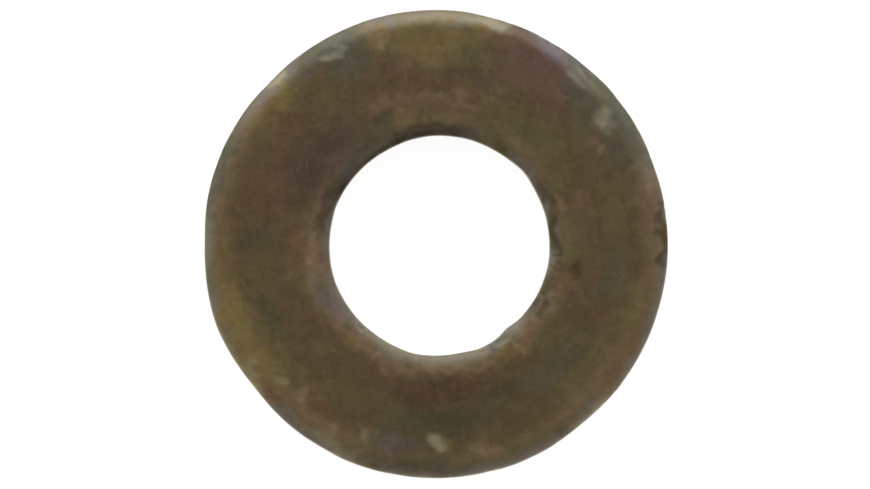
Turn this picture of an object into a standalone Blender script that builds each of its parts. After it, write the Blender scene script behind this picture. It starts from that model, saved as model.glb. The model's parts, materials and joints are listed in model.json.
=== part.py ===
"""Flat washer for an M10 bolt, stamped from steel strip in a compound die.

One piece: a blank is cut to the outside diameter and pierced in the same stroke, so both cut
edges are rolled over on the same face, run straight below that, then tear with a slight taper
down to the other face.

The frame is in metres, +Z up. The origin is the centre of the outside diameter on the lower
bearing face, and +Z points along the hole towards the face with the rolled edges.
"""

import math

import bpy

MM = 0.001

# Driving dimensions.
OUTSIDE_DIAMETER = 22.0 * MM
HOLE_DIAMETER = 10.5 * MM
THICKNESS = 2.0 * MM

# The piercing punch sits a little off the centre of the blanking punch.
HOLE_OFFSET_X = 0.18 * MM
HOLE_OFFSET_Y = -0.07 * MM

# A cut edge, from the rolled face down. Each is a share of the thickness.
ROLL_WIDTH = 0.25 * THICKNESS
ROLL_DEPTH = 0.15 * THICKNESS
LAND_DEPTH = 0.40 * THICKNESS
FRACTURE_TAPER = 0.04 * THICKNESS
CORNER_RADIUS = 0.05 * THICKNESS

# How finely round shapes are divided.
RING_STEPS = 96
ROLL_STEPS = 6
CORNER_STEPS = 3

# How far the punch that cuts the hole reaches past each face.
PUNCH_OVERRUN = 1.0 * MM
MERGE_DISTANCE = 0.001 * MM

METAL_COLOUR = (0.24, 0.18, 0.10, 1.0)
METAL_ROUGHNESS = 0.42


def clear_scene():
    for old in list(bpy.data.objects):
        bpy.data.objects.remove(old, do_unlink=True)


def collection(name):
    made = bpy.data.collections.new(name)
    bpy.context.scene.collection.children.link(made)
    return made


def chromated_zinc():
    """Zinc plate with a yellow chromate film that has gone olive brown."""
    material = bpy.data.materials.new("chromated_zinc")
    material.use_nodes = True
    shader = material.node_tree.nodes["Principled BSDF"]
    shader.inputs["Base Color"].default_value = METAL_COLOUR
    shader.inputs["Metallic"].default_value = 1.0
    shader.inputs["Roughness"].default_value = METAL_ROUGHNESS
    material.diffuse_color = METAL_COLOUR
    return material


def cut_edge(radius, into_metal):
    """(radius, height) points down one cut edge: roll, straight land, torn taper, broken corner.

    into_metal is -1 on the outside edge, where the metal is nearer the axis, and +1 in the hole.
    """
    points = []
    for step in range(ROLL_STEPS + 1):
        turn = 0.5 * math.pi * step / ROLL_STEPS
        inset = ROLL_WIDTH * (1.0 - math.sin(turn))
        drop = ROLL_DEPTH * (1.0 - math.cos(turn))
        points.append((radius + into_metal * inset, THICKNESS - drop))
    points.append((radius, THICKNESS - ROLL_DEPTH - LAND_DEPTH))
    for step in range(CORNER_STEPS + 1):
        turn = 0.5 * math.pi * step / CORNER_STEPS
        inset = FRACTURE_TAPER + CORNER_RADIUS * (1.0 - math.cos(turn))
        height = CORNER_RADIUS * (1.0 - math.sin(turn))
        points.append((radius + into_metal * inset, height))
    return points


def turned(name, profile, owner):
    """A solid of revolution about Z. The profile starts and ends on the axis and runs top to bottom."""
    mesh = bpy.data.meshes.new(name)
    points = [(radius, 0.0, height) for radius, height in profile]
    edges = [(i, i + 1) for i in range(len(points) - 1)]
    mesh.from_pydata(points, edges, [])
    made = bpy.data.objects.new(name, mesh)
    owner.objects.link(made)
    screw = made.modifiers.new("turn", "SCREW")
    screw.axis = "Z"
    screw.angle = 2.0 * math.pi
    screw.steps = RING_STEPS
    screw.render_steps = RING_STEPS
    screw.use_merge_vertices = True
    screw.merge_threshold = MERGE_DISTANCE
    screw.use_smooth_shade = True
    return made


def punch(owner):
    """The shape that the piercing punch takes out, with the roll at its upper mouth."""
    edge = cut_edge(0.5 * HOLE_DIAMETER, into_metal=1)
    top = THICKNESS + PUNCH_OVERRUN
    bottom = -PUNCH_OVERRUN
    profile = [(0.0, top), (edge[0][0], top), *edge, (edge[-1][0], bottom), (0.0, bottom)]
    made = turned("punch", profile, owner)
    made.location = (HOLE_OFFSET_X, HOLE_OFFSET_Y, 0.0)
    made.hide_render = True
    made.display_type = "WIRE"
    return made


def washer(owner, cutter):
    """The blank, cut to the outside diameter, with the hole pierced in it."""
    edge = cut_edge(0.5 * OUTSIDE_DIAMETER, into_metal=-1)
    made = turned("washer", [(0.0, THICKNESS), *edge, (0.0, 0.0)], owner)
    made.data.materials.append(chromated_zinc())
    pierce = made.modifiers.new("pierce", "BOOLEAN")
    pierce.operation = "DIFFERENCE"
    pierce.solver = "EXACT"
    pierce.object = cutter
    return made


def main():
    clear_scene()
    parts = collection("flat_washer")
    cutters = collection("cutters")
    washer(parts, punch(cutters))


main()
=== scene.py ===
"""The looks of the flat washer: one stamped, plated and knocked-about ring on a pale floor.

Lengths are in millimetres until the mesh is written, and in metres after that. A direction is an
angle in degrees round the washer, from +X towards +Y. A share runs across the band, from 0 at the
hole to 1 at the outside.
"""

import json
import math

import bpy
import numpy as np
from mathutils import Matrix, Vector, noise


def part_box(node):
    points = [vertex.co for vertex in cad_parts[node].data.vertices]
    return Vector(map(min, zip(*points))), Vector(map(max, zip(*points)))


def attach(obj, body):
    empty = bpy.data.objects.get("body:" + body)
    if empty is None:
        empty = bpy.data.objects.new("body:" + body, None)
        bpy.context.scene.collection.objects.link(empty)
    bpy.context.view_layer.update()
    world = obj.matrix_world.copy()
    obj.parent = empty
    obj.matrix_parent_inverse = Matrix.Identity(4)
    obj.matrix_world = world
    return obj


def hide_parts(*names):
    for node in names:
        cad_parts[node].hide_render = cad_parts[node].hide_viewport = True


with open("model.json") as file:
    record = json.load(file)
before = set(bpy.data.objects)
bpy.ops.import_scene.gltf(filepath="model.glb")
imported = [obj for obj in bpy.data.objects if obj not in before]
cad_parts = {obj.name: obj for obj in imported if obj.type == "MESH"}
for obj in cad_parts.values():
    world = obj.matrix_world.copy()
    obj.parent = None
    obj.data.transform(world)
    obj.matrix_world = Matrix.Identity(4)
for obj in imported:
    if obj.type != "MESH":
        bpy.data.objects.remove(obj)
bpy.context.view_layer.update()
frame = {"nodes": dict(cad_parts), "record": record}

MM = 0.001
WASHER = "washer"


# ---------------------------------------------------------------------------- sizes from the frame

LOW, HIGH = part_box(WASHER)
OUTSIDE_RADIUS = 0.5 * (HIGH.x - LOW.x) / MM
THICKNESS = (HIGH.z - LOW.z) / MM


def hole_axis():
    """The stated opening is centred on the hole."""
    low, high = frame["record"]["physics"]["openings"][0]["box_m"]
    return np.array([0.5 * (low[i] + high[i]) / MM for i in (0, 1)])


def hole_radius(axis):
    """The wall is the solid's nearest point to the hole's axis."""
    points = frame["nodes"][WASHER].data.vertices
    return min(math.dist(axis, (p.co.x / MM, p.co.y / MM)) for p in points)


HOLE_AXIS = hole_axis()
HOLE_RADIUS = hole_radius(HOLE_AXIS)


# ----------------------------------------------------------------------------------- the cut edges

# The blanking die has worn, so each outline wanders: (direction, half width in degrees, rise in mm).
OUTSIDE_LOBES = [
    (4, 9, -0.035), (20, 9, -0.04), (50, 7, -0.025), (85, 7, 0.045), (100, 16, 0.05),
    (135, 9, -0.04), (180, 9, -0.08), (200, 6, 0.05), (219, 9, -0.075), (250, 6, 0.07),
    (268, 22, 0.06), (290, 6, 0.04), (300, 6, 0.015), (310, 8, -0.06), (340, 16, -0.03),
]
HOLE_LOBES = [
    (41, 9, 0.08), (114, 9, -0.02), (125, 18, -0.045), (160, 6, 0.025), (196, 9, 0.018),
    (230, 7, -0.025), (258, 10, 0.05), (280, 7, -0.025), (291, 5, 0.03), (309, 6, -0.11),
    (320, 14, -0.06), (352, 7, 0.022),
]
# How much less the mean radius of each outline is than in the CAD solid.
OUTSIDE_SHRINK = 0.068
HOLE_SHRINK = 0.085

# Finer variation round the ring, as layers of smooth noise: (amount, waves across the ring, seed). The
# outlines and the end of the land vary in mm, and the rest by a share of their size. A cut edge adds its
# own seed to that of each layer.
OUTSIDE_WANDER = [(0.008, 9.0, 3.0)]
HOLE_WANDER = [(0.006, 5.0, 8.0)]
WIDTH_WANDER = [(0.14, 1.6, 0.0), (0.05, 7.0, 1.0)]
DROP_WANDER = [(0.12, 2.0, 2.0)]
LAND_WANDER = [(0.10, 2.2, 3.0), (0.05, 14.0, 4.0)]
TAPER_WANDER = [(0.25, 2.5, 5.0)]
OUTSIDE_SEED = 11.0
HOLE_SEED = 31.0

# The die pulls the metal over in a long shallow slope with a tight nose: (width of both, fall of the
# slope, radius of the nose). The slope falls as this power of the way along it.
OUTSIDE_ROLL = (0.96, 0.23, 0.09)
HOLE_ROLL = (0.80, 0.14, 0.06)
ROLL_CURVE = 2.1
# Below that the wall is straight as deep as this, then torn and tapered. The tearing is full after the
# first part of the torn zone, and the corner at the bottom is broken.
LAND_END = 1.05
TORN_TAPER = 0.08
TORN_ONSET = 0.25
CORNER = 0.10

# Relief of the surface in mm, as layers of smooth noise in space: (amount, scale per mm, seed). Each kind
# is sunk a little, so that it doesn't stand out past the CAD box.
TORN_GRAIN = [(0.012, 3.2, 71.0), (0.008, 6.5, 81.0)]
TORN_SUNK = 0.012
SWELL = [(0.0045, 0.6, 91.0), (0.0020, 1.9, 95.0)]
SWELL_SUNK = 0.0065

# How far down a wall the marks and the film of a face reach, and over how much of that they fade.
FACE_REACH = 0.55
FACE_FADE = 0.25
# How far up a wall the wear of the bottom corner reaches, and how far up it is full.
CORNER_REACH = 0.3
CORNER_START = 0.02

# How many rings of points each stretch of the section gets.
AROUND = 576
TOP_RINGS = 62
BOTTOM_RINGS = 24
ROLL_RINGS = 10
NOSE_RINGS = 4
LAND_RINGS = 8
TORN_RINGS = 15
CORNER_RINGS = 4


# ------------------------------------------------------------------------------- marks on the face

# Knocks from the plating barrel: (direction, share, length, width, depth, lean from radial in degrees,
# how pale it is rubbed).
KNOCKS = [
    (38, 0.82, 0.70, 0.34, 0.030, 40, 0.50),
    (30.5, 0.65, 0.20, 0.24, 0.018, 30, 0.25),
    (49.5, 0.88, 0.90, 0.28, 0.024, 85, 0.10),
    (61, 1.00, 0.70, 0.22, 0.020, 80, 0.15),
    (105.5, 0.82, 0.60, 0.26, 0.022, -10, 0.35),
    (119.5, 0.87, 0.45, 0.36, 0.028, 75, 0.20),
    (134, 0.97, 0.80, 0.26, 0.020, 85, 0.50),
    (221, 0.78, 0.50, 0.24, 0.026, -60, 0.45),
    (228, 0.74, 0.50, 0.30, 0.020, 10, 0.30),
    (241, 0.84, 0.50, 0.30, 0.022, 20, 0.30),
    (249, 0.74, 0.30, 0.26, 0.022, 5, 0.40),
    (270, 0.70, 0.50, 0.42, 0.034, 50, 1.00),
    (282, 0.81, 0.60, 0.26, 0.016, 25, 0.20),
    (302, 0.03, 0.60, 0.22, 0.030, 80, 0.10),
    (309, 0.17, 0.60, 0.24, 0.016, 0, 0.25),
    (343, 0.28, 0.50, 0.20, 0.014, -20, 0.12),
    (349, 0.20, 0.20, 0.30, 0.022, 10, 0.00),
    (87, 0.30, 0.90, 0.24, 0.012, 55, 0.10),
    (176, 0.14, 0.30, 0.28, 0.018, 70, 0.20),
]
# How far the outlines of all knocks are bent along x and along y, as layers of noise like the relief's.
KNOCK_BENDS = [[(0.06, 2.6, 101.0)], [(0.06, 2.6, 111.0)]]

# Small knocks, placed at random. Each pair is a least and a most.
KNOCKS_ON_EDGES = 0.45
EDGE_KNOCK_SPREAD = 0.03
EDGE_KNOCKS_DEEPER = 1.6
SMALL_SHARES = (0.08, 0.92)
SMALL_LENGTHS = (0.05, 0.5)
SMALL_WIDTHS = (0.10, 0.20)
SMALL_DEPTHS = (0.006, 0.016)


# ------------------------------------------------------------------------------ the chromate film

# The film's tints, as display values under the room's light.
TINTS = {
    "bronze": (85, 72, 51),
    "umber": (86, 68, 52),
    "rust": (100, 76, 54),
    "madder": (97, 67, 54),
    "wine": (78, 61, 49),
    "plum": (89, 70, 61),
    "dusk": (73, 60, 52),
    "slate": (80, 76, 61),
    "ink": (70, 66, 49),
    "soot": (66, 53, 39),
    "moss": (86, 78, 50),
    "olive": (98, 85, 56),
    "ochre": (108, 94, 58),
    "tan": (106, 88, 64),
    "rose": (99, 81, 66),
    "lavender": (93, 84, 84),
    "mist": (84, 82, 84),
    "straw": (99, 92, 79),
    "steel": (74, 76, 69),
    "chalk": (114, 110, 95),
    "pewter": (95, 92, 85),
    "blush": (128, 104, 86),
    "bare": (134, 126, 98),
    "grime": (58, 50, 39),
    # A near-black tint, used only for the painted shade on the hole's rim.
    "rim_shade": (34, 30, 24),
}
BASE_TINT = "bronze"
DRIFT_TINTS = ("umber", "moss")
EDGE_TINT = "pewter"
# The painted shade on the hole's rim takes this tint.
RIM_SHADE_TINT = "rim_shade"
# How bright the room looks in a rough mirror that lies flat.
FACE_LIGHT = 0.43

# The film drifts slowly between two tints, and that makes up this share of it: (amount, scale per mm,
# seed).
DRIFT = [(0.5, 0.45, 5.0)]
DRIFT_SHARE = 0.30
# It thins towards both cut edges: shares from the middle of the band where that starts and where it is
# full, how much paler it gets, and how much of that reaches the middle of the walls.
THIN_FILM = (0.24, 0.38, 0.32)
WALL_THINNING = 0.2
# It is rubbed grey at the very edge: the same two shares, and how much.
RUBBED_FILM = (0.37, 0.47, 0.66)

# A patch's cover is its core less its fall times the distance from its middle, in half sizes, held
# between none and all.
PATCH_CORE = 1.25
PATCH_FALL = 0.85
# How far the patches stand out from the film between them.
PATCH_CONTRAST = 1.07
# What makes their edges ragged, in degrees and in shares: (amount, scale per mm, seed).
TURN_WARP = [(1.8, 0.7, 41.0), (1.4, 2.2, 45.0)]
SHARE_WARP = [(0.04, 0.7, 61.0), (0.03, 2.2, 65.0)]

# Patches on the bottom face, placed at random. Each pair is a least and a most.
CHANCE_TINTS = ["umber", "rust", "plum", "dusk", "slate", "ink", "moss", "olive", "ochre", "tan", "rose"]
CHANCE_WIDTHS = (3, 16)
CHANCE_HEIGHTS = (0.05, 0.18)
CHANCE_SHARES = (0.05, 0.95)
CHANCE_STRENGTHS = (0.3, 0.9)

# Patches of tint on the top face: (direction, share, half width in degrees, half height as a share, tint,
# strength). A later one lies over an earlier one. Most are the film's own colour; some dark ones on the
# rims are painted shade and some pale ones on the top of the outer rim partly painted highlight, as said at
# each group.
PATCHES = [
    # Right. The soot on the very outer edge is painted shade.
    (11, 0.87, 10, 0.11, "rose", 0.7),
    (2, 0.96, 8, 0.05, "soot", 0.85),
    (17, 0.87, 5, 0.06, "chalk", 0.25),
    (10, 0.05, 22, 0.06, "ink", 0.9),
    (8, 0.27, 8, 0.08, "rose", 0.3),
    (15, 0.13, 5, 0.05, "tan", 0.4),
    (26, 0.03, 8, 0.05, "soot", 0.2),
    (7, 0.05, 6, 0.05, "soot", 0.45),
    (19, 0.05, 6, 0.05, "moss", 0.5),
    (17, 0.33, 4, 0.07, "rose", 0.4),
    # Upper right. The ink on the outer rim, which faces the window, is painted shade.
    (27, 0.80, 9, 0.19, "slate", 0.8),
    (44, 0.76, 9, 0.17, "slate", 0.8),
    (31, 0.65, 3, 0.05, "rose", 0.5),
    (29, 0.73, 3, 0.05, "dusk", 0.5),
    (38, 0.96, 20, 0.08, "steel", 0.8),
    (38, 0.28, 17, 0.13, "moss", 0.6),
    (30, 0.14, 17, 0.08, "moss", 0.6),
    (70, 0.25, 8, 0.07, "moss", 0.5),
    (61, 0.86, 12, 0.18, "plum", 0.9),
    (56, 0.62, 11, 0.15, "plum", 0.5),
    (56, 0.88, 4, 0.06, "mist", 0.4),
    (61, 0.97, 8, 0.08, "mist", 0.8),
    (38, 0.97, 16, 0.07, "ink", 0.45),
    (49, 0.95, 6, 0.06, "steel", 0.8),
    (46, 0.94, 5, 0.06, "ink", 0.5),
    (42, 0.68, 4, 0.05, "ink", 0.35),
    # Top. The straw, chalk and pewter on the top of the outer rim are partly painted highlight.
    (69, 0.56, 8, 0.16, "plum", 0.45),
    (80, 0.50, 8, 0.06, "dusk", 0.6),
    (82, 0.41, 4, 0.05, "umber", 0.5),
    (81, 0.31, 9, 0.05, "rose", 0.8),
    (106, 0.29, 9, 0.06, "rose", 0.7),
    (97, 0.20, 5, 0.05, "rose", 0.45),
    (91, 0.93, 18, 0.13, "olive", 1.0),
    (92, 0.76, 16, 0.14, "olive", 0.95),
    (89, 0.98, 20, 0.08, "straw", 0.9),
    (76, 0.94, 5, 0.07, "chalk", 0.65),
    (104, 0.95, 5, 0.06, "pewter", 0.85),
    (67.5, 0.95, 4, 0.07, "dusk", 0.6),
    (74, 0.84, 4, 0.06, "tan", 0.5),
    (89, 0.92, 14, 0.06, "chalk", 0.3),
    (111, 0.95, 3, 0.05, "slate", 0.5),
    (91, 0.61, 7, 0.08, "olive", 0.8),
    (77, 0.66, 4, 0.06, "slate", 0.5),
    (101, 0.55, 8, 0.05, "plum", 0.6),
    (97, 0.43, 13, 0.06, "umber", 0.7),
    (97, 0.28, 9, 0.07, "rose", 0.6),
    (112, 0.34, 5, 0.07, "rose", 0.8),
    (106, 0.84, 3, 0.07, "tan", 0.9),
    (109, 0.85, 4, 0.07, "ochre", 0.5),
    (116, 0.78, 8, 0.18, "slate", 0.9),
    (107, 0.22, 4, 0.07, "olive", 0.4),
    (115, 0.22, 3, 0.06, "ink", 0.6),
    # Upper right, over the ones there.
    (49, 0.87, 4.5, 0.05, "pewter", 0.6),
    (36, 0.79, 3, 0.09, "chalk", 0.6),
    # Upper left and left. The ink and soot on the outer rim are painted shade; the pewter there is partly
    # painted highlight.
    (119, 0.93, 10, 0.09, "steel", 0.8),
    (119, 0.87, 3.5, 0.06, "chalk", 0.8),
    (126, 0.88, 3, 0.06, "rose", 0.4),
    (154, 0.95, 18, 0.07, "umber", 0.7),
    (168, 0.95, 8, 0.07, "ink", 0.45),
    (136, 0.96, 38, 0.07, "ink", 0.25),
    (140, 0.95, 8, 0.05, "pewter", 0.5),
    (127, 0.95, 4, 0.05, "soot", 0.35),
    (158, 0.95, 5, 0.06, "ink", 0.8),
    (160, 0.95, 14, 0.06, "steel", 0.3),
    (136, 0.84, 4, 0.11, "ochre", 0.7),
    (130, 0.91, 4, 0.06, "steel", 0.45),
    (139, 0.76, 3, 0.06, "umber", 0.7),
    (140, 0.89, 3, 0.05, "umber", 0.45),
    (145, 0.77, 5, 0.09, "ochre", 0.3),
    (134, 0.94, 4, 0.05, "mist", 0.4),
    (141, 0.26, 22, 0.20, "dusk", 0.8),
    (133, 0.16, 15, 0.05, "plum", 0.4),
    (150, 0.40, 16, 0.18, "dusk", 0.6),
    (162, 0.58, 18, 0.24, "umber", 0.7),
    (176, 0.60, 6, 0.12, "ink", 0.5),
    (178, 0.23, 6, 0.06, "rust", 0.8),
    (177, 0.14, 6, 0.05, "rose", 0.7),
    # The upper half of the hole's rim, which faces away from the window: its soot, ink and dusk are painted
    # shade.
    (92, 0.05, 24, 0.06, "soot", 0.7),
    (112, 0.04, 6, 0.05, "soot", 0.6),
    (66, 0.14, 4, 0.05, "ink", 0.5),
    (75, 0.16, 5, 0.05, "ink", 0.45),
    (60, 0.06, 12, 0.06, "moss", 0.8),
    (56, 0.05, 6, 0.06, "soot", 0.35),
    (123, 0.14, 13, 0.09, "ink", 0.65),
    (138, 0.05, 22, 0.06, "slate", 0.8),
    (144, 0.07, 4, 0.05, "mist", 0.5),
    (160, 0.05, 12, 0.06, "dusk", 0.8),
    (150, 0.05, 8, 0.06, "ink", 0.6),
    (171, 0.05, 6, 0.05, "ink", 0.45),
    # Lower left, and dark places on the lower outer rim, which faces away from the window: those dark
    # places are painted shade.
    (185, 0.85, 9, 0.13, "olive", 0.7),
    (187, 0.86, 3, 0.05, "tan", 0.4),
    (189, 0.96, 5, 0.05, "slate", 0.5),
    (203, 0.87, 13, 0.13, "ochre", 0.9),
    (215, 0.84, 6, 0.13, "ochre", 0.95),
    (194, 0.76, 5, 0.06, "ochre", 0.5),
    (212, 0.72, 14, 0.10, "olive", 0.5),
    (232, 0.88, 18, 0.12, "tan", 0.9),
    (214, 0.94, 4, 0.05, "bare", 0.4),
    (200, 0.95, 7, 0.05, "pewter", 0.4),
    (236, 0.98, 14, 0.05, "lavender", 0.6),
    (263, 0.93, 12, 0.08, "ink", 0.5),
    (274, 0.92, 5, 0.06, "slate", 0.8),
    (251, 0.95, 4, 0.05, "ink", 0.6),
    (304, 0.95, 4, 0.05, "ink", 0.45),
    (201, 0.56, 7, 0.10, "ink", 0.6),
    (190, 0.27, 5, 0.07, "ochre", 0.4),
    (195, 0.22, 4, 0.06, "moss", 0.7),
    (210, 0.38, 7, 0.08, "umber", 0.5),
    (222, 0.36, 5, 0.08, "olive", 0.4),
    (228, 0.20, 4, 0.06, "ochre", 0.4),
    (188, 0.11, 11, 0.06, "rose", 0.7),
    (202, 0.17, 25, 0.06, "tan", 0.5),
    (197, 0.14, 10, 0.05, "straw", 0.4),
    (210, 0.11, 9, 0.09, "lavender", 0.7),
    (219, 0.03, 7, 0.05, "ink", 0.35),
    (184, 0.14, 7, 0.05, "tan", 0.6),
    (198, 0.13, 6, 0.05, "straw", 0.4),
    (222, 0.90, 4, 0.05, "umber", 0.45),
    (227, 0.82, 2, 0.10, "tan", 0.7),
    (241, 0.88, 3, 0.07, "tan", 0.7),
    (242, 0.95, 9, 0.07, "bare", 0.4),
    (228, 0.95, 4, 0.06, "straw", 0.75),
    (230, 0.66, 9, 0.07, "rust", 0.5),
    # Bottom.
    (245, 0.19, 6, 0.06, "madder", 0.5),
    (244, 0.11, 8, 0.07, "chalk", 0.3),
    (254, 0.78, 2, 0.18, "slate", 0.8),
    (251, 0.74, 3, 0.06, "pewter", 0.3),
    (260, 0.78, 4, 0.07, "plum", 0.3),
    (261, 0.72, 6, 0.08, "mist", 0.35),
    (250, 0.82, 8, 0.12, "tan", 0.3),
    (272, 0.67, 4, 0.05, "ochre", 0.5),
    (271, 0.86, 4, 0.06, "slate", 0.75),
    (271, 0.54, 17, 0.12, "ink", 0.8),
    (269, 0.31, 24, 0.13, "wine", 0.9),
    (285, 0.21, 6, 0.04, "rust", 0.7),
    (288, 0.12, 5, 0.05, "tan", 0.4),
    (289, 0.21, 4, 0.05, "wine", 0.5),
    (276, 0.80, 3, 0.07, "moss", 0.5),
    (283, 0.82, 4, 0.09, "tan", 0.95),
    (294, 0.85, 5, 0.06, "tan", 0.3),
    (294, 0.42, 9, 0.08, "ink", 0.7),
    # Lower right. The ink on the hole's rim is painted shade.
    (314, 0.15, 8, 0.08, "tan", 0.85),
    (302, 0.15, 9, 0.06, "ochre", 0.4),
    (320, 0.24, 6, 0.08, "moss", 0.4),
    (325, 0.15, 10, 0.06, "olive", 0.5),
    (316, 0.48, 15, 0.13, "slate", 0.5),
    (312, 0.86, 4, 0.08, "olive", 0.4),
    (313, 0.95, 5, 0.06, "chalk", 0.85),
    (325, 0.88, 20, 0.12, "tan", 0.6),
    (331, 0.96, 9, 0.05, "pewter", 0.4),
    (320, 0.70, 16, 0.10, "olive", 0.5),
    (334, 0.87, 5, 0.07, "tan", 0.7),
    (340, 0.78, 8, 0.11, "olive", 0.7),
    (343, 0.31, 4, 0.07, "rose", 0.4),
    (350, 0.20, 4, 0.07, "soot", 0.65),
    (336, 0.07, 13, 0.07, "umber", 0.8),
    (331, 0.06, 15, 0.06, "ink", 0.6),
    (331, 0.12, 7, 0.04, "straw", 0.55),
    (339, 0.05, 6, 0.06, "ink", 0.5),
    (301, 0.06, 5, 0.06, "steel", 0.8),
    (311, 0.08, 4, 0.05, "chalk", 0.3),
    # A warm line a little way in from the hole.
    (17, 0.12, 6, 0.05, "blush", 0.25),
    (187, 0.14, 9, 0.04, "blush", 0.25),
    (228, 0.13, 16, 0.04, "blush", 0.3),
    (270, 0.12, 22, 0.04, "blush", 0.3),
    (322, 0.12, 15, 0.04, "blush", 0.2),
    # Right, over the ones there.
    (351, 0.57, 11, 0.14, "slate", 0.5),
]

# Painted shade in a thin dark line on the hole's rim, mostly on its upper half, which faces away from the
# window: (direction, half width in degrees, reach as a share, strength).
RIM_PAINTED_SHADE = [(97, 22, 0.055, 0.6), (124, 14, 0.05, 0.45), (151, 8, 0.05, 0.6), (329, 9, 0.05, 0.55)]
# The part of its reach over which it fades, and how much of the patches' raggedness it has.
RIM_SHADE_FADE = 0.6
RIM_SHADE_RAGGED = 0.2


def linear(value):
    """A display value from 0 to 255 as linear light."""
    value = value / 255.0
    return value / 12.92 if value <= 0.04045 else ((value + 0.055) / 1.055) ** 2.4


def film_tint(name):
    """The film's reflectance, from how it looks under the room's light."""
    return np.array([linear(value) / FACE_LIGHT for value in TINTS[name]])


def directions():
    return np.linspace(0.0, 2.0 * math.pi, AROUND, endpoint=False)


def unit(angles):
    return np.stack([np.cos(angles), np.sin(angles)], axis=-1)


def turn_between(angles, direction):
    """Degrees from each angle to a direction, the short way round."""
    return (np.degrees(angles) - direction + 180.0) % 360.0 - 180.0


def lobes(angles, bumps):
    total = np.zeros_like(angles)
    for direction, half_width, rise in bumps:
        total += rise * np.exp(-((turn_between(angles, direction) / half_width) ** 2))
    return total


def wandering(start, angles, layers, seed=0.0):
    """start, with layers of smooth noise added that join up with themselves round the ring."""
    value = start + np.zeros_like(angles)
    for amount, waves, own_seed in layers:
        spots = [Vector((waves * x, waves * y, seed + own_seed)) for x, y in unit(angles)]
        value += amount * np.array([2.0 * noise.noise(spot) for spot in spots])
    return value


def speckle(points, per_mm, seed):
    """Smooth noise in space, about -1 to 1."""
    shift = Vector((seed, -seed, 0.5 * seed))
    flat = points.reshape(-1, 3) * per_mm
    values = [2.0 * noise.noise(Vector(p) + shift) for p in flat]
    return np.array(values).reshape(points.shape[:-1])


def layered(points, layers):
    """Layers of speckle, added up."""
    return sum(amount * speckle(points, per_mm, seed) for amount, per_mm, seed in layers)


def smooth(x):
    x = np.clip(x, 0.0, 1.0)
    return x * x * (3.0 - 2.0 * x)


class Section:
    """The ring's rings of points, in order round the section, with what each ring is part of."""

    def __init__(self):
        self.rings = []
        self.torn = []

    def add(self, flat, height, torn=0.0):
        heights = np.broadcast_to(height, flat.shape[:1])
        self.rings.append(np.column_stack([flat, heights]))
        self.torn.append(np.broadcast_to(torn, flat.shape[:1]))


def edge_rings(angles, wall, into_metal, roll, seed):
    """Rings down one cut edge, from the flat of the top face to the flat of the bottom face.

    Each is (radius, height, torn). into_metal is -1 on the outside, where the metal is nearer the axis,
    and 1 in the hole.
    """
    width, drop, nose = roll
    width = width * wandering(1.0, angles, WIDTH_WANDER, seed)
    drop = drop * wandering(1.0, angles, DROP_WANDER, seed)
    land_end = wandering(LAND_END, angles, LAND_WANDER, seed)
    taper = TORN_TAPER * wandering(1.0, angles, TAPER_WANDER, seed)
    rings = []
    for k in range(ROLL_RINGS + 1):
        part = k / ROLL_RINGS
        inset = width + (nose - width) * part
        rings.append((wall + into_metal * inset, THICKNESS - drop * part ** ROLL_CURVE, 0.0))
    steepest = np.arctan(drop * ROLL_CURVE / (width - nose))
    for k in range(1, NOSE_RINGS + 1):
        tilt = steepest + (0.5 * math.pi - steepest) * k / NOSE_RINGS
        reach = (np.sin(tilt) - np.sin(steepest)) / (1.0 - np.sin(steepest))
        fall = nose * (np.cos(steepest) - np.cos(tilt)) / (1.0 - np.sin(steepest))
        rings.append((wall + into_metal * nose * (1.0 - reach), THICKNESS - drop - fall, 0.0))
    depth = THICKNESS - rings[-1][1]
    for k in range(1, LAND_RINGS + 1):
        down = depth + (land_end - depth) * k / LAND_RINGS
        rings.append((wall, THICKNESS - down, 0.0))
    for k in range(1, TORN_RINGS + 1):
        part = k / TORN_RINGS
        down = land_end + (THICKNESS - CORNER - land_end) * part
        rings.append((wall + into_metal * taper * part, THICKNESS - down, smooth(part / TORN_ONSET)))
    for k in range(1, CORNER_RINGS + 1):
        turn = 0.5 * math.pi * k / CORNER_RINGS
        inset = taper + CORNER * (1.0 - math.cos(turn))
        rings.append((wall + into_metal * inset, CORNER * (1.0 - math.sin(turn)), 1.0 - k / CORNER_RINGS))
    return rings


def ring_section():
    """The whole closed section: top face outwards, down the outside, bottom face inwards, up the hole.

    Gives its points, how torn the metal is at each, and the radius of both walls at every angle.
    """
    angles = directions()
    toward = unit(angles)
    outside = OUTSIDE_RADIUS - OUTSIDE_SHRINK + lobes(angles, OUTSIDE_LOBES)
    outside = np.minimum(wandering(outside, angles, OUTSIDE_WANDER), OUTSIDE_RADIUS)
    hole = HOLE_RADIUS - HOLE_SHRINK + lobes(angles, HOLE_LOBES)
    hole = wandering(hole, angles, HOLE_WANDER)
    outer = edge_rings(angles, outside, -1, OUTSIDE_ROLL, OUTSIDE_SEED)
    inner = edge_rings(angles, hole, 1, HOLE_ROLL, HOLE_SEED)

    def at_outside(ring):
        return toward * np.broadcast_to(ring[0], angles.shape)[:, None]

    def at_hole(ring):
        return HOLE_AXIS + at_outside(ring)

    section = Section()
    for k in range(TOP_RINGS):
        share = k / TOP_RINGS
        section.add((1.0 - share) * at_hole(inner[0]) + share * at_outside(outer[0]), THICKNESS)
    for ring in outer:
        section.add(at_outside(ring), ring[1], ring[2])
    for k in range(1, BOTTOM_RINGS):
        share = 1.0 - k / BOTTOM_RINGS
        section.add((1.0 - share) * at_hole(inner[-1]) + share * at_outside(outer[-1]), 0.0)
    for ring in inner[:0:-1]:
        section.add(at_hole(ring), ring[1], ring[2])
    return np.array(section.rings), np.array(section.torn), outside, hole


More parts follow.
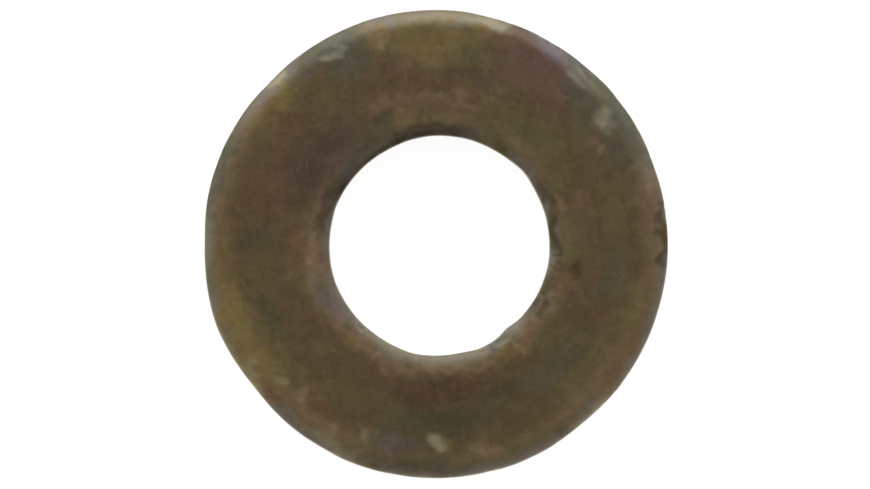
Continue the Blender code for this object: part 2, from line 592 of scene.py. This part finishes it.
def band_shares(points, outside, hole):
    """Each point's share across the band, 0 at the hole's wall and 1 at the outside wall."""
    toward = unit(directions())
    inner = HOLE_AXIS + toward * hole[:, None]
    outer = toward * outside[:, None]
    across = outer - inner
    along = ((points[..., :2] - inner) * across).sum(-1)
    return along / (across * across).sum(-1)


def place(direction, share, outside, hole):
    """The point on the top face at a direction and share of the band."""
    toward = unit(np.radians([float(direction)]))[0]
    at = int(round(direction / 360.0 * AROUND)) % AROUND
    inner = HOLE_AXIS + toward * hole[at]
    outer = toward * outside[at]
    return (1.0 - share) * inner + share * outer, toward


def distance_to_stroke(points, middle, along, length):
    """Distance in plan from each point to a straight stroke."""
    offset = points - middle
    step = np.clip(offset @ along, -0.5 * length, 0.5 * length)
    return np.linalg.norm(offset - step[..., None] * along, axis=-1)


def near_face(points, side=1.0):
    """1 on the top face and its rolled edges, 0 down the walls. side is -1 for the bottom face."""
    down = 0.5 * THICKNESS - side * (points[..., 2] - 0.5 * THICKNESS)
    return smooth((FACE_REACH - down) / FACE_FADE)


def near_corner(points):
    """1 at the broken corner of the bottom face, 0 from a little way up the wall and on the face."""
    return smooth(1.0 - points[..., 2] / CORNER_REACH) * smooth(points[..., 2] / CORNER_START)


def rotated(vector, degrees):
    c, s = math.cos(math.radians(degrees)), math.sin(math.radians(degrees))
    return np.array([c * vector[0] - s * vector[1], s * vector[0] + c * vector[1]])


def press(points, normals, bend, stroke, outside, hole, side=1.0):
    """Presses one knock into the top face or its rolled edge, and gives how deep each point is in it.

    bend moves each point in plan before it is measured, and side is -1 for the bottom face.
    """
    direction, share, length, width, depth, lean = stroke
    middle, toward = place(direction, share, outside, hole)
    away = distance_to_stroke(points[..., :2] + bend, middle, rotated(toward, lean), length) / width
    dip = (1.0 - np.clip(away, 0.0, 1.0) ** 2) ** 2 * near_face(points, side)
    points -= normals * (depth * dip)[..., None]
    return dip


def normals_of(points):
    """Unit normals of the ring lattice, pointing out of the metal."""
    down = np.roll(points, -1, axis=0) - np.roll(points, 1, axis=0)
    round_ring = np.roll(points, -1, axis=1) - np.roll(points, 1, axis=1)
    normals = np.cross(down, round_ring)
    return normals / np.linalg.norm(normals, axis=-1, keepdims=True)


def small_knocks(seed, count):
    """Light tumbling marks over the face and the rolled edges."""
    rng = np.random.default_rng(seed)
    made = []
    for _ in range(count):
        on_edge = rng.random() < KNOCKS_ON_EDGES
        if on_edge:
            share = rng.choice([0.0, 1.0]) + rng.normal(0.0, EDGE_KNOCK_SPREAD)
        else:
            share = rng.uniform(*SMALL_SHARES)
        length = rng.uniform(*SMALL_LENGTHS)
        width = rng.uniform(*SMALL_WIDTHS)
        depth = rng.uniform(*SMALL_DEPTHS) * (EDGE_KNOCKS_DEEPER if on_edge else 1.0)
        made.append((rng.uniform(0, 360), share, length, width, depth, rng.uniform(-90, 90)))
    return made


def chance_patches(seed, count):
    """Patches like the top face's, scattered at random."""
    rng = np.random.default_rng(seed)
    made = []
    for _ in range(count):
        size = rng.uniform(*CHANCE_WIDTHS), rng.uniform(*CHANCE_HEIGHTS)
        tint = str(rng.choice(CHANCE_TINTS))
        where = rng.uniform(0, 360), rng.uniform(*CHANCE_SHARES)
        made.append((*where, *size, tint, rng.uniform(*CHANCE_STRENGTHS)))
    return made


def film_between_patches(points, shares):
    """Slow drift all over, paler towards the edges and grey at the very edge."""
    drift = 0.5 + layered(points, DRIFT)[..., None]
    film = film_tint(DRIFT_TINTS[0]) * drift + film_tint(DRIFT_TINTS[1]) * (1.0 - drift)
    film = (1.0 - DRIFT_SHARE) * film_tint(BASE_TINT) + DRIFT_SHARE * film
    off_middle = np.abs(shares - 0.5)
    top, bottom = near_face(points), near_face(points, side=-1.0)
    start, full, gain = THIN_FILM
    on_walls = WALL_THINNING + (1.0 - WALL_THINNING) * np.maximum(top, bottom)
    film *= (1.0 + gain * smooth((off_middle - start) / (full - start)) * on_walls)[..., None]
    start, full, most = RUBBED_FILM
    edge = smooth((off_middle - start) / (full - start))
    rubbed = most * edge * (top + near_corner(points) * np.clip(drift[..., 0], 0.0, 1.0))
    film += (film_tint(EDGE_TINT) - film) * rubbed[..., None]
    return film


def film_of(points, shares):
    """The film's colour at each point, with patches on both faces and a thin line of painted shade on the
    hole's rim. Some of the top face's patches on the rims are painted shade, and some partly painted
    highlight.
    """
    angles = np.broadcast_to(directions(), shares.shape)
    top, bottom = near_face(points), near_face(points, side=-1.0)
    warp_turn = layered(points, TURN_WARP)
    warp_share = layered(points, SHARE_WARP)
    plain = film_between_patches(points, shares)
    film = plain.copy()
    for patches, face in ((PATCHES, top), (chance_patches(seed=12, count=46), bottom)):
        for direction, share, half_width, half_height, tint, strength in patches:
            turn = (turn_between(angles, direction) + warp_turn) / half_width
            rise = (shares + warp_share - share) / half_height
            mask = strength * smooth(PATCH_CORE - PATCH_FALL * np.hypot(turn, rise)) * face
            film += (film_tint(tint) - film) * mask[..., None]
    film = plain + PATCH_CONTRAST * (film - plain)
    # Painted shade: a thin dark line on the hole's rim, mostly where it faces away from the window.
    for direction, half_width, reach, strength in RIM_PAINTED_SHADE:
        along = np.exp(-((turn_between(angles, direction) / half_width) ** 2))
        across = smooth((reach - shares - RIM_SHADE_RAGGED * warp_share) / (RIM_SHADE_FADE * reach))
        mask = strength * along * across * top
        film += (film_tint(RIM_SHADE_TINT) - film) * mask[..., None]
    return film


def ring_faces(rings):
    """Quads of a lattice that closes on itself both ways."""
    ring, step = np.meshgrid(np.arange(rings), np.arange(AROUND), indexing="ij")
    below, beside = (ring + 1) % rings, (step + 1) % AROUND
    corners = [ring * AROUND + step, below * AROUND + step, below * AROUND + beside, ring * AROUND + beside]
    return np.stack(corners, axis=-1).reshape(-1, 4)


def store(mesh, name, values):
    attribute = mesh.attributes.new(name, "FLOAT", "POINT")
    attribute.data.foreach_set("value", np.ascontiguousarray(values, np.float32).ravel())


def store_colour(mesh, name, colours):
    attribute = mesh.attributes.new(name, "FLOAT_COLOR", "POINT")
    with_alpha = np.concatenate([colours, np.ones((*colours.shape[:-1], 1))], axis=-1)
    attribute.data.foreach_set("color", np.ascontiguousarray(with_alpha, np.float32).ravel())


def make_washer():
    points, torn, outside, hole = ring_section()
    shares = band_shares(points, outside, hole)
    normals = normals_of(points)
    film = film_of(points, shares)
    wear = np.zeros(shares.shape)
    points += normals * (torn * (layered(points, TORN_GRAIN) - TORN_SUNK))[..., None]
    points += normals * ((1.0 - torn) * (layered(points, SWELL) - SWELL_SUNK))[..., None]
    bend = np.stack([layered(points, layers) for layers in KNOCK_BENDS], axis=-1)
    for stroke in small_knocks(seed=4, count=90):
        press(points, normals, bend, stroke, outside, hole)
    for stroke in small_knocks(seed=9, count=60):
        press(points, normals, bend, stroke, outside, hole, side=-1.0)
    for *stroke, paleness in KNOCKS:
        dip = press(points, normals, bend, stroke, outside, hole)
        np.maximum(wear, paleness * dip, out=wear)
    points[..., 2] = np.clip(points[..., 2], 0.0, THICKNESS)
    mesh = bpy.data.meshes.new("plated_washer")
    mesh.from_pydata((points.reshape(-1, 3) * MM).tolist(), [], ring_faces(len(points)).tolist())
    mesh.shade_smooth()
    # The film colour includes painted shade and partly painted highlight on the rims.
    store_colour(mesh, "film", film)
    store(mesh, "wear", wear)
    store(mesh, "torn", torn)
    mesh.update()
    washer = bpy.data.objects.new("plated_washer", mesh)
    bpy.context.scene.collection.objects.link(washer)
    return washer


# ----------------------------------------------------------------------------------- the materials


class Graph:
    """Adds nodes to a tree and joins them, so that a texture reads as a line of sums."""

    def __init__(self, tree):
        self.tree = tree

    def node(self, kind, **settings):
        node = self.tree.nodes.new("ShaderNode" + kind)
        for key, value in settings.items():
            setattr(node, key, value)
        return node

    def add(self, kind, *inputs, output=0, **settings):
        """Makes a node, sets its properties, feeds its inputs in order, and gives its output."""
        node = self.node(kind, **settings)
        for socket, value in zip(node.inputs, inputs):
            self.feed(socket, value)
        return node.outputs[output]

    def feed(self, socket, value):
        if isinstance(value, bpy.types.NodeSocket):
            self.tree.links.new(value, socket)
        else:
            socket.default_value = value

    def stored(self, name, output):
        """A value that the mesh holds at each point."""
        node = self.node("Attribute", attribute_name=name)
        return node.outputs[output]

    def maths(self, operation, *inputs):
        return self.add("Math", *inputs, operation=operation)

    def remap(self, value, low, high, to_low=0.0, to_high=1.0):
        """Carries low..high smoothly to to_low..to_high, and holds it there outside."""
        return self.add("MapRange", value, low, high, to_low, to_high, interpolation_type="SMOOTHSTEP")

    def mix(self, share, first, second, blend="MIX"):
        node = self.node("Mix", data_type="RGBA", blend_type=blend)
        self.feed(node.inputs[0], share)
        self.feed(node.inputs[6], first)
        self.feed(node.inputs[7], second)
        return node.outputs[2]

    def noise(self, where, per_metre, detail=2.0, roughness=0.5, distortion=0.0):
        node = self.node("TexNoise")
        self.feed(node.inputs["Vector"], where)
        self.feed(node.inputs["Scale"], per_metre)
        self.feed(node.inputs["Detail"], detail)
        self.feed(node.inputs["Roughness"], roughness)
        self.feed(node.inputs["Distortion"], distortion)
        return node.outputs["Fac"]

    def stretched(self, where, degrees, stretch):
        """Coordinates turned about Z and spread across, for marks that run one way."""
        node = self.node("Mapping", vector_type="TEXTURE")
        self.feed(node.inputs["Vector"], where)
        self.feed(node.inputs["Rotation"], (0.0, 0.0, math.radians(degrees)))
        self.feed(node.inputs["Scale"], (1.0, 1.0 / stretch, 1.0))
        return node.outputs["Vector"]

    def bump(self, height, strength, distance, under=None):
        node = self.node("Bump")
        self.feed(node.inputs["Strength"], strength)
        self.feed(node.inputs["Distance"], distance)
        self.feed(node.inputs["Height"], height)
        if under is not None:
            self.feed(node.inputs["Normal"], under)
        return node.outputs["Normal"]


def new_material(name):
    material = bpy.data.materials.new(name)
    material.use_nodes = True
    return material, Graph(material.node_tree), material.node_tree.nodes["Principled BSDF"].inputs


def opaque(tint):
    return (*tint, 1.0)


# Scales of the noise in the film and in the metal's finish, per metre.
CLOUD_SCALE = 1300.0
CAST_SCALE = 700.0
MOTTLE_SCALE = 5200.0
ROLLING_SCALE = 420.0
GRIT_SCALE = 14000.0

# The film's fine shifts of colour, and how far its shade goes either way.
WARM_CAST = (1.02, 0.993, 0.983, 1.0)
COOL_CAST = (0.98, 1.007, 1.01, 1.0)
SHADE = (0.95, 1.05)

# Directions that the fine scratches run in: (degrees, scale per metre, level that starts a scratch).
SCRATCH_SETS = [(12, 900.0, 0.66), (57, 1100.0, 0.67), (101, 800.0, 0.66), (148, 1000.0, 0.68)]
SCRATCH_STRETCH = 22.0
SCRATCH_EDGE = 0.05
SCRATCH_PALENESS = 0.09

# The strip was rolled along this direction, in degrees.
ROLLING_DIRECTION = 8
ROLLING_STRETCH = 30.0

# The least and the most grime on the torn metal.
TORN_GRIME = (0.10, 0.55)

# Roughness of the film, with what mottle, torn metal and rubbing add to it.
FILM_ROUGHNESS = (0.38, 0.48)
MOTTLE_ROUGHNESS = 0.06
TORN_ROUGHNESS = 0.14
RUBBED_ROUGHNESS = -0.10

# Fine relief in the shading: (strength, height in metres).
ROLLING_BUMP = (0.03, 0.00002)
SCRATCH_BUMP = (-0.25, 0.00001)
GRIT_BUMP = (0.4, 0.00002)
GRIT_ON_FACE = 0.2


def scratches(graph, where):
    """Fine straight marks in a few directions, 1 on a mark and 0 between."""
    marks = 0.0
    for degrees, per_metre, threshold in SCRATCH_SETS:
        streak = graph.noise(graph.stretched(where, degrees, SCRATCH_STRETCH), per_metre, detail=1.0)
        marks = graph.maths("MAXIMUM", graph.remap(streak, threshold, threshold + SCRATCH_EDGE), marks)
    return marks


def chromated_zinc():
    """Zinc under an aged yellow chromate film, rubbed pale where it took the hard knocks."""
    material, graph, shader = new_material("chromated_zinc")
    where = graph.add("TexCoord", output=3)
    # The stored film colour also carries painted shade and partly painted highlight on the rims.
    film = graph.stored("film", "Color")
    wear, torn = graph.stored("wear", "Fac"), graph.stored("torn", "Fac")
    cloud = graph.noise(where, CLOUD_SCALE, detail=4.0, roughness=0.6, distortion=0.6)
    drift = graph.noise(where, CAST_SCALE, detail=4.0, roughness=0.55, distortion=1.0)
    mottle = graph.noise(where, MOTTLE_SCALE, detail=3.0, roughness=0.6)
    marks = scratches(graph, where)

    # The noise stays near 0.5, so each remap spreads out the middle of its range.
    cast = graph.mix(graph.remap(drift, 0.35, 0.65), WARM_CAST, COOL_CAST)
    tint = graph.mix(1.0, film, cast, blend="MULTIPLY")
    shade = graph.remap(cloud, 0.3, 0.7, *SHADE)
    shade = graph.maths("MULTIPLY", shade, graph.remap(mottle, 0.25, 0.75, *SHADE))
    tint = graph.mix(1.0, tint, graph.add("CombineColor", shade, shade, shade), blend="MULTIPLY")
    rubbed = graph.maths("MULTIPLY", wear, graph.remap(mottle, 0.25, 0.60, 0.65, 1.0))
    rubbed = graph.maths("MAXIMUM", rubbed, graph.maths("MULTIPLY", marks, SCRATCH_PALENESS))
    tint = graph.mix(rubbed, tint, opaque(film_tint("bare")))
    grime = graph.maths("MULTIPLY", torn, graph.remap(cloud, 0.35, 0.65, *TORN_GRIME))
    graph.feed(shader["Base Color"], graph.mix(grime, tint, opaque(film_tint("grime"))))

    rough = graph.remap(cloud, 0.3, 0.7, *FILM_ROUGHNESS)
    rough = graph.maths("MULTIPLY_ADD", mottle, MOTTLE_ROUGHNESS, rough)
    rough = graph.maths("MULTIPLY_ADD", torn, TORN_ROUGHNESS, rough)
    graph.feed(shader["Roughness"], graph.maths("MULTIPLY_ADD", rubbed, RUBBED_ROUGHNESS, rough))
    graph.feed(shader["Metallic"], 1.0)

    lines = graph.stretched(where, ROLLING_DIRECTION, ROLLING_STRETCH)
    rolling = graph.noise(lines, ROLLING_SCALE, detail=3.0)
    grit = graph.noise(where, GRIT_SCALE, detail=2.0)
    grit = graph.maths("MULTIPLY", grit, graph.maths("ADD", torn, GRIT_ON_FACE))
    normal = graph.bump(rolling, *ROLLING_BUMP)
    normal = graph.bump(marks, *SCRATCH_BUMP, normal)
    normal = graph.bump(grit, *GRIT_BUMP, normal)
    graph.feed(shader["Normal"], normal)
    return material


# The board that the washer lies on.
BOARD_GREY = 0.45
BOARD_GLOW = 0.88
WHITE = (1.0, 1.0, 1.0, 1.0)


def pale_board():
    """Matt board, lit mostly from within so that the shadow stays light."""
    material, graph, shader = new_material("pale_board")
    graph.feed(shader["Base Color"], (BOARD_GREY, BOARD_GREY, BOARD_GREY, 1.0))
    graph.feed(shader["Roughness"], 0.9)
    graph.feed(shader["Specular IOR Level"], 0.1)
    graph.feed(shader["Emission Color"], WHITE)
    graph.feed(shader["Emission Strength"], BOARD_GLOW)
    return material


# --------------------------------------------------------------------------- floor, light and view

# In metres. The floor is a many-sided disc, with this many degrees to a side.
FLOOR_RADIUS = 30.0
FLOOR_STEP = 6
FLOOR_GAP = 0.00001

# How bright the room looks from the washer: overhead, low down all round, and at a long window down
# one side.
CEILING = 0.30
LOW_DOWN = 0.70
WINDOW = 1.5
BACKDROP = 1.1
# Where one fades into the other, as the height of a unit vector: low down to overhead, in at the
# window's sill and out at its head. The spread is how nearly the vector points to the window's side.
LOW_HEIGHTS = (0.22, 0.48)
WINDOW_SILL = (0.20, 0.50)
WINDOW_HEAD = (0.75, 0.95)
WINDOW_SPREAD = (-0.15, 0.72)
WINDOW_SIDE = (-0.12, 0.99, 0.0)

LENS = 120.0
SENSOR = 36.0
CLIPPING = (0.005, 100.0)
# How much of the picture's width the outside diameter takes, and where on the washer the camera aims.
DIAMETER_IN_FRAME = 0.5406
AIM = (-0.03, -0.02)


def make_floor():
    mesh = bpy.data.meshes.new("floor")
    corners = unit(np.radians(np.arange(0, 360, FLOOR_STEP))) * FLOOR_RADIUS
    points = [(x, y, LOW.z - FLOOR_GAP) for x, y in corners]
    mesh.from_pydata(points, [], [list(range(len(points)))])
    mesh.materials.append(pale_board())
    floor = bpy.data.objects.new("floor", mesh)
    bpy.context.scene.collection.objects.link(floor)


def make_room():
    """A plain room with a long soft window down one side. The camera sees only a white backdrop."""
    world = bpy.data.worlds.new("room")
    bpy.context.scene.world = world
    world.use_nodes = True
    graph = Graph(world.node_tree)
    toward = graph.add("TexCoord", output=0)
    height = graph.add("SeparateXYZ", toward, output=2)
    side = Vector(WINDOW_SIDE).normalized()
    facing = graph.add("VectorMath", toward, side, operation="DOT_PRODUCT", output=1)
    above_sill = graph.remap(height, *WINDOW_SILL)
    below_head = graph.remap(height, *WINDOW_HEAD, 1.0, 0.0)
    glass = graph.maths("MULTIPLY", above_sill, below_head)
    glass = graph.maths("MULTIPLY", glass, graph.remap(facing, *WINDOW_SPREAD))
    room = graph.remap(height, *LOW_HEIGHTS, LOW_DOWN, CEILING)
    room = graph.maths("MULTIPLY_ADD", glass, WINDOW - CEILING, room)
    backdrop = graph.maths("MULTIPLY", graph.add("LightPath", output=0), BACKDROP)
    background = world.node_tree.nodes["Background"].inputs
    graph.feed(background["Color"], WHITE)
    graph.feed(background["Strength"], graph.maths("MAXIMUM", room, backdrop))


def make_camera():
    """Straight above the washer, with +Y up in the picture."""
    data = bpy.data.cameras.new("camera")
    data.sensor_width = SENSOR
    data.lens = LENS
    data.clip_start, data.clip_end = CLIPPING
    camera = bpy.data.objects.new("camera", data)
    seen_width = 2.0 * OUTSIDE_RADIUS * MM / DIAMETER_IN_FRAME
    camera.location = (AIM[0] * MM, AIM[1] * MM, HIGH.z + seen_width * LENS / SENSOR)
    bpy.context.scene.collection.objects.link(camera)
    bpy.context.scene.camera = camera


def main():
    washer = make_washer()
    washer.data.materials.append(chromated_zinc())
    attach(washer, "root")
    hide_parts(WASHER)
    make_floor()
    make_room()
    make_camera()
    bpy.context.scene.view_settings.view_transform = "Standard"


main()
